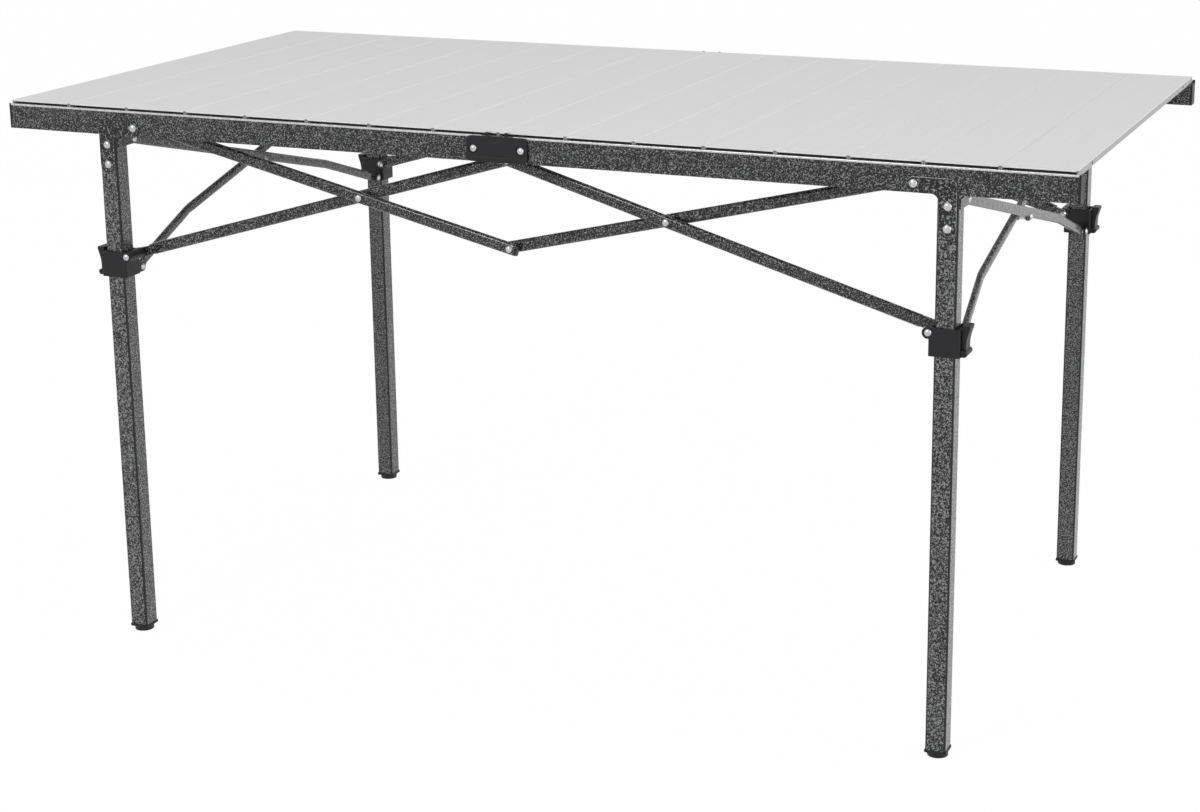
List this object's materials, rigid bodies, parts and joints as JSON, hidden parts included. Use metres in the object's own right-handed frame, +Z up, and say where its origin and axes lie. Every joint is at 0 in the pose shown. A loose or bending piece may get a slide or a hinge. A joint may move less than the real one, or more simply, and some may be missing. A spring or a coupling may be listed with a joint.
{
  "type": "roll top camp table",
  "caption": "Folding camp table with a roll-up slatted aluminium top on a dark steel frame of hinged rails, crossed bars, leg sliders and square legs with round feet.",
  "frame": {"origin": "on the floor under the middle of the table top", "axes": "+X along the table's length, +Y from its front to its rear, +Z up"},
  "size_m": [1.397, 0.7226, 0.711],
  "materials": {
    "slat_aluminium": "satin, extruded",
    "steel_paint": "hammered dark grey paint",
    "black_plastic": "fine moulded grain",
    "rivet_steel": "bright plated"
  },
  "bodies": {
    "leg_front_left": {"leg_front_left": "steel_paint", "corner_plate_front_left": "steel_paint", "leg_rivets_front_left": "rivet_steel", "foot_front_left": "black_plastic"},
    "leg_front_right": {"leg_front_right": "steel_paint", "corner_plate_front_right": "steel_paint", "leg_rivets_front_right": "rivet_steel", "foot_front_right": "black_plastic"},
    "leg_rear_left": {"leg_rear_left": "steel_paint", "corner_plate_rear_left": "steel_paint", "leg_rivets_rear_left": "rivet_steel", "foot_rear_left": "black_plastic"},
    "leg_rear_right": {"leg_rear_right": "steel_paint", "corner_plate_rear_right": "steel_paint", "leg_rivets_rear_right": "rivet_steel", "foot_rear_right": "black_plastic"},
    "knuckle_front": {"knuckle_front": "black_plastic", "knuckle_rivets_front": "rivet_steel"},
    "knuckle_rear": {"knuckle_rear": "black_plastic", "knuckle_rivets_rear": "rivet_steel"},
    "rail_front_left": {"rail_front_left": "steel_paint"},
    "rail_front_right": {"rail_front_right": "steel_paint"},
    "rail_rear_left": {"rail_rear_left": "steel_paint"},
    "rail_rear_right": {"rail_rear_right": "steel_paint"},
    "low_bar_front_left": {"low_bar_front_left": "steel_paint"},
    "low_bar_front_right": {"low_bar_front_right": "steel_paint"},
    "low_bar_rear_left": {"low_bar_rear_left": "steel_paint"},
    "low_bar_rear_right": {"low_bar_rear_right": "steel_paint"},
    "high_bar_front_left": {"high_bar_front_left": "steel_paint"},
    "high_bar_front_right": {"high_bar_front_right": "steel_paint"},
    "high_bar_rear_left": {"high_bar_rear_left": "steel_paint"},
    "high_bar_rear_right": {"high_bar_rear_right": "steel_paint"},
    "slider_front_left": {"slider_front_left": "black_plastic"},
    "slider_front_right": {"slider_front_right": "black_plastic"},
    "slider_rear_left": {"slider_rear_left": "black_plastic"},
    "slider_rear_right": {"slider_rear_right": "black_plastic"},
    "lever_front_left": {"lever_front_left": "black_plastic"},
    "lever_front_right": {"lever_front_right": "black_plastic"},
    "lever_rear_left": {"lever_rear_left": "black_plastic"},
    "lever_rear_right": {"lever_rear_right": "black_plastic"},
    "outer_end_bar_left": {"outer_end_bar_left": "steel_paint"},
    "outer_end_bar_right": {"outer_end_bar_right": "steel_paint"},
    "inner_end_bar_left": {"inner_end_bar_left": "steel_paint"},
    "inner_end_bar_right": {"inner_end_bar_right": "steel_paint"},
    "slat_01": {"slat_01": "slat_aluminium"},
    "slat_02": {"slat_02": "slat_aluminium"},
    "slat_03": {"slat_03": "slat_aluminium"},
    "slat_04": {"slat_04": "slat_aluminium"},
    "slat_05": {"slat_05": "slat_aluminium"},
    "slat_06": {"slat_06": "slat_aluminium"},
    "slat_07": {"slat_07": "slat_aluminium"},
    "slat_08": {"slat_08": "slat_aluminium"},
    "slat_09": {"slat_09": "slat_aluminium"},
    "slat_10": {"slat_10": "slat_aluminium"},
    "slat_11": {"slat_11": "slat_aluminium"},
    "slat_12": {"slat_12": "slat_aluminium"},
    "slat_13": {"slat_13": "slat_aluminium"},
    "slat_14": {"slat_14": "slat_aluminium"},
    "slat_15": {"slat_15": "slat_aluminium"},
    "slat_16": {"slat_16": "slat_aluminium"}
  },
  "joints": [
    {"name": "frame_fold", "type": "hinge", "parent": "leg_front_left", "child": "rail_front_left", "pos_m": [-0.511, -0.343, 0.685], "axis": [0, 1, 0], "range_deg": [0, 76]},
    {"name": "knuckle_front_turn", "type": "hinge", "parent": "rail_front_left", "child": "knuckle_front", "pos_m": [-0.031, -0.343, 0.6905], "axis": [0, 1, 0], "range_deg": [-77, 0]},
    {"name": "rail_front_right_turn", "type": "hinge", "parent": "knuckle_front", "child": "rail_front_right", "pos_m": [0.031, -0.343, 0.6905], "axis": [0, 1, 0], "range_deg": [-77, 0]},
    {"name": "leg_front_right_turn", "type": "hinge", "parent": "rail_front_right", "child": "leg_front_right", "pos_m": [0.511, -0.343, 0.685], "axis": [0, 1, 0], "range_deg": [0, 77]},
    {"name": "low_bar_front_left_turn", "type": "hinge", "parent": "leg_front_left", "child": "low_bar_front_left", "pos_m": [-0.511, -0.343, 0.685], "axis": [0, 1, 0], "range_deg": [0, 61.61]},
    {"name": "high_bar_front_left_turn", "type": "hinge", "parent": "low_bar_front_left", "child": "high_bar_front_left", "pos_m": [-0.2045, -0.343, 0.6125], "axis": [0, 1, 0], "range_deg": [-116.25, 0]},
    {"name": "slider_front_left_turn", "type": "hinge", "parent": "high_bar_front_left", "child": "slider_front_left", "pos_m": [-0.532, -0.343, 0.5161], "axis": [0, 1, 0], "range_deg": [0, 55.64]},
    {"name": "lever_front_left_snap", "type": "hinge", "parent": "slider_front_left", "child": "lever_front_left", "pos_m": [-0.5735, -0.343, 0.4937], "axis": [0, -1, 0], "range_deg": [0, 12], "stiffness_Nm_per_rad": 0.6, "springref_deg": -8.59},
    {"name": "low_bar_front_right_turn", "type": "hinge", "parent": "leg_front_right", "child": "low_bar_front_right", "pos_m": [0.511, -0.343, 0.685], "axis": [0, 1, 0], "range_deg": [-61.61, 0]},
    {"name": "high_bar_front_right_turn", "type": "hinge", "parent": "low_bar_front_right", "child": "high_bar_front_right", "pos_m": [0.2045, -0.343, 0.6125], "axis": [0, 1, 0], "range_deg": [0, 116.25]},
    {"name": "slider_front_right_turn", "type": "hinge", "parent": "high_bar_front_right", "child": "slider_front_right", "pos_m": [0.532, -0.343, 0.5161], "axis": [0, 1, 0], "range_deg": [-55.64, 0]},
    {"name": "lever_front_right_snap", "type": "hinge", "parent": "slider_front_right", "child": "lever_front_right", "pos_m": [0.5735, -0.343, 0.4937], "axis": [0, 1, 0], "range_deg": [0, 12], "stiffness_Nm_per_rad": 0.6, "springref_deg": -8.59},
    {"name": "outer_end_bar_left_turn", "type": "hinge", "parent": "leg_front_left", "child": "outer_end_bar_left", "pos_m": [-0.551, -0.3171, 0.664], "axis": [1, 0, 0], "range_deg": [-58.47, 0]},
    {"name": "inner_end_bar_left_turn", "type": "hinge", "parent": "outer_end_bar_left", "child": "inner_end_bar_left", "pos_m": [-0.551, 0, 0.57955], "axis": [1, 0, 0], "range_deg": [0, 115.93]},
    {"name": "outer_end_bar_right_turn", "type": "hinge", "parent": "leg_front_right", "child": "outer_end_bar_right", "pos_m": [0.551, -0.3171, 0.664], "axis": [1, 0, 0], "range_deg": [-58.47, 0]},
    {"name": "inner_end_bar_right_turn", "type": "hinge", "parent": "outer_end_bar_right", "child": "inner_end_bar_right", "pos_m": [0.551, 0, 0.57955], "axis": [1, 0, 0], "range_deg": [0, 115.93]},
    {"name": "leg_rear_left_turn", "type": "hinge", "parent": "inner_end_bar_left", "child": "leg_rear_left", "pos_m": [-0.551, 0.3171, 0.664], "axis": [1, 0, 0], "range_deg": [-58.47, 0]},
    {"name": "rail_rear_left_turn", "type": "hinge", "parent": "leg_rear_left", "child": "rail_rear_left", "pos_m": [-0.511, 0.343, 0.685], "axis": [0, 1, 0], "range_deg": [0, 77]},
    {"name": "knuckle_rear_turn", "type": "hinge", "parent": "rail_rear_left", "child": "knuckle_rear", "pos_m": [-0.031, 0.343, 0.6905], "axis": [0, 1, 0], "range_deg": [-77, 0]},
    {"name": "rail_rear_right_turn", "type": "hinge", "parent": "knuckle_rear", "child": "rail_rear_right", "pos_m": [0.031, 0.343, 0.6905], "axis": [0, 1, 0], "range_deg": [-77, 0]},
    {"name": "leg_rear_right_turn", "type": "hinge", "parent": "rail_rear_right", "child": "leg_rear_right", "pos_m": [0.511, 0.343, 0.685], "axis": [0, 1, 0], "range_deg": [0, 77]},
    {"name": "low_bar_rear_left_turn", "type": "hinge", "parent": "leg_rear_left", "child": "low_bar_rear_left", "pos_m": [-0.511, 0.343, 0.685], "axis": [0, 1, 0], "range_deg": [0, 61.61]},
    {"name": "high_bar_rear_left_turn", "type": "hinge", "parent": "low_bar_rear_left", "child": "high_bar_rear_left", "pos_m": [-0.2045, 0.343, 0.6125], "axis": [0, 1, 0], "range_deg": [-116.25, 0]},
    {"name": "slider_rear_left_turn", "type": "hinge", "parent": "high_bar_rear_left", "child": "slider_rear_left", "pos_m": [-0.532, 0.343, 0.5161], "axis": [0, 1, 0], "range_deg": [0, 55.64]},
    {"name": "lever_rear_left_snap", "type": "hinge", "parent": "slider_rear_left", "child": "lever_rear_left", "pos_m": [-0.5735, 0.343, 0.4937], "axis": [0, -1, 0], "range_deg": [0, 12], "stiffness_Nm_per_rad": 0.6, "springref_deg": -8.59},
    {"name": "low_bar_rear_right_turn", "type": "hinge", "parent": "leg_rear_right", "child": "low_bar_rear_right", "pos_m": [0.511, 0.343, 0.685], "axis": [0, 1, 0], "range_deg": [-61.61, 0]},
    {"name": "high_bar_rear_right_turn", "type": "hinge", "parent": "low_bar_rear_right", "child": "high_bar_rear_right", "pos_m": [0.2045, 0.343, 0.6125], "axis": [0, 1, 0], "range_deg": [0, 116.25]},
    {"name": "slider_rear_right_turn", "type": "hinge", "parent": "high_bar_rear_right", "child": "slider_rear_right", "pos_m": [0.532, 0.343, 0.5161], "axis": [0, 1, 0], "range_deg": [-55.64, 0]},
    {"name": "lever_rear_right_snap", "type": "hinge", "parent": "slider_rear_right", "child": "lever_rear_right", "pos_m": [0.5735, 0.343, 0.4937], "axis": [0, 1, 0], "range_deg": [0, 12], "stiffness_Nm_per_rad": 0.6, "springref_deg": -8.59},
    {"name": "top_lift", "type": "slide", "parent": "leg_front_left", "child": "slat_08", "axis": [0, 0, 1], "range_m": [0, 0.35]},
    {"name": "top_roll", "type": "hinge", "parent": "slat_15", "child": "slat_16", "pos_m": [0.60813, 0, 0.711], "axis": [0, -1, 0], "range_deg": [0, 75]},
    {"name": "slat_15_roll", "type": "hinge", "parent": "slat_14", "child": "slat_15", "pos_m": [0.52125, 0, 0.711], "axis": [0, -1, 0], "range_deg": [0, 71.59]},
    {"name": "slat_14_roll", "type": "hinge", "parent": "slat_13", "child": "slat_14", "pos_m": [0.43438, 0, 0.711], "axis": [0, -1, 0], "range_deg": [0, 67.67]},
    {"name": "slat_13_roll", "type": "hinge", "parent": "slat_12", "child": "slat_13", "pos_m": [0.3475, 0, 0.711], "axis": [0, -1, 0], "range_deg": [0, 64.16]},
    {"name": "slat_12_roll", "type": "hinge", "parent": "slat_11", "child": "slat_12", "pos_m": [0.26062, 0, 0.711], "axis": [0, -1, 0], "range_deg": [0, 61]},
    {"name": "slat_11_roll", "type": "hinge", "parent": "slat_10", "child": "slat_11", "pos_m": [0.17375, 0, 0.711], "axis": [0, -1, 0], "range_deg": [0, 58.14]},
    {"name": "slat_10_roll", "type": "hinge", "parent": "slat_09", "child": "slat_10", "pos_m": [0.08687, 0, 0.711], "axis": [0, -1, 0], "range_deg": [0, 55.55]},
    {"name": "slat_09_roll", "type": "hinge", "parent": "slat_08", "child": "slat_09", "pos_m": [0, 0, 0.711], "axis": [0, -1, 0], "range_deg": [0, 53.17]},
    {"name": "slat_07_roll", "type": "hinge", "parent": "slat_08", "child": "slat_07", "pos_m": [-0.08687, 0, 0.711], "axis": [0, 1, 0], "range_deg": [0, 47]},
    {"name": "slat_06_roll", "type": "hinge", "parent": "slat_07", "child": "slat_06", "pos_m": [-0.17375, 0, 0.711], "axis": [0, 1, 0], "range_deg": [0, 45.16]},
    {"name": "slat_05_roll", "type": "hinge", "parent": "slat_06", "child": "slat_05", "pos_m": [-0.26062, 0, 0.711], "axis": [0, 1, 0], "range_deg": [0, 43.46]},
    {"name": "slat_04_roll", "type": "hinge", "parent": "slat_05", "child": "slat_04", "pos_m": [-0.3475, 0, 0.711], "axis": [0, 1, 0], "range_deg": [0, 41.89]},
    {"name": "slat_03_roll", "type": "hinge", "parent": "slat_04", "child": "slat_03", "pos_m": [-0.43438, 0, 0.711], "axis": [0, 1, 0], "range_deg": [0, 40.43]},
    {"name": "slat_02_roll", "type": "hinge", "parent": "slat_03", "child": "slat_02", "pos_m": [-0.52125, 0, 0.711], "axis": [0, 1, 0], "range_deg": [0, 39.07]},
    {"name": "slat_01_roll", "type": "hinge", "parent": "slat_02", "child": "slat_01", "pos_m": [-0.60813, 0, 0.711], "axis": [0, 1, 0], "range_deg": [0, 37.8]}
  ],
  "couplings": [
    {"joint": "knuckle_front_turn", "follows": "frame_fold", "ratio": -1},
    {"joint": "rail_front_right_turn", "follows": "frame_fold", "ratio": -1},
    {"joint": "leg_front_right_turn", "follows": "frame_fold", "ratio": 1},
    {"joint": "low_bar_front_left_turn", "follows": "frame_fold", "ratio": 0.7975},
    {"joint": "high_bar_front_left_turn", "follows": "frame_fold", "ratio": -1.5165},
    {"joint": "slider_front_left_turn", "follows": "frame_fold", "ratio": 0.71896},
    {"joint": "low_bar_front_right_turn", "follows": "frame_fold", "ratio": -0.7975},
    {"joint": "high_bar_front_right_turn", "follows": "frame_fold", "ratio": 1.5165},
    {"joint": "slider_front_right_turn", "follows": "frame_fold", "ratio": -0.71896},
    {"joint": "outer_end_bar_left_turn", "follows": "frame_fold", "ratio": -0.75613},
    {"joint": "inner_end_bar_left_turn", "follows": "frame_fold", "ratio": 1.5123},
    {"joint": "outer_end_bar_right_turn", "follows": "frame_fold", "ratio": -0.75613},
    {"joint": "inner_end_bar_right_turn", "follows": "frame_fold", "ratio": 1.5123},
    {"joint": "leg_rear_left_turn", "follows": "frame_fold", "ratio": -0.75613},
    {"joint": "rail_rear_left_turn", "follows": "frame_fold", "ratio": 1},
    {"joint": "knuckle_rear_turn", "follows": "frame_fold", "ratio": -1},
    {"joint": "rail_rear_right_turn", "follows": "frame_fold", "ratio": -1},
    {"joint": "leg_rear_right_turn", "follows": "frame_fold", "ratio": 1},
    {"joint": "low_bar_rear_left_turn", "follows": "frame_fold", "ratio": 0.7975},
    {"joint": "high_bar_rear_left_turn", "follows": "frame_fold", "ratio": -1.5165},
    {"joint": "slider_rear_left_turn", "follows": "frame_fold", "ratio": 0.71896},
    {"joint": "low_bar_rear_right_turn", "follows": "frame_fold", "ratio": -0.7975},
    {"joint": "high_bar_rear_right_turn", "follows": "frame_fold", "ratio": 1.5165},
    {"joint": "slider_rear_right_turn", "follows": "frame_fold", "ratio": -0.71896},
    {"joint": "top_lift", "follows": "frame_fold", "m_per_rad": 0.26},
    {"joint": "slat_15_roll", "follows": "top_roll", "ratio": 0.94118},
    {"joint": "slat_14_roll", "follows": "top_roll", "ratio": 0.88889},
    {"joint": "slat_13_roll", "follows": "top_roll", "ratio": 0.84211},
    {"joint": "slat_12_roll", "follows": "top_roll", "ratio": 0.8},
    {"joint": "slat_11_roll", "follows": "top_roll", "ratio": 0.7619},
    {"joint": "slat_10_roll", "follows": "top_roll", "ratio": 0.72727},
    {"joint": "slat_09_roll", "follows": "top_roll", "ratio": 0.69565},
    {"joint": "slat_07_roll", "follows": "top_roll", "ratio": 0.61333},
    {"joint": "slat_06_roll", "follows": "top_roll", "ratio": 0.5888},
    {"joint": "slat_05_roll", "follows": "top_roll", "ratio": 0.56615},
    {"joint": "slat_04_roll", "follows": "top_roll", "ratio": 0.54519},
    {"joint": "slat_03_roll", "follows": "top_roll", "ratio": 0.52571},
    {"joint": "slat_02_roll", "follows": "top_roll", "ratio": 0.50759},
    {"joint": "slat_01_roll", "follows": "top_roll", "ratio": 0.49067}
  ]
}
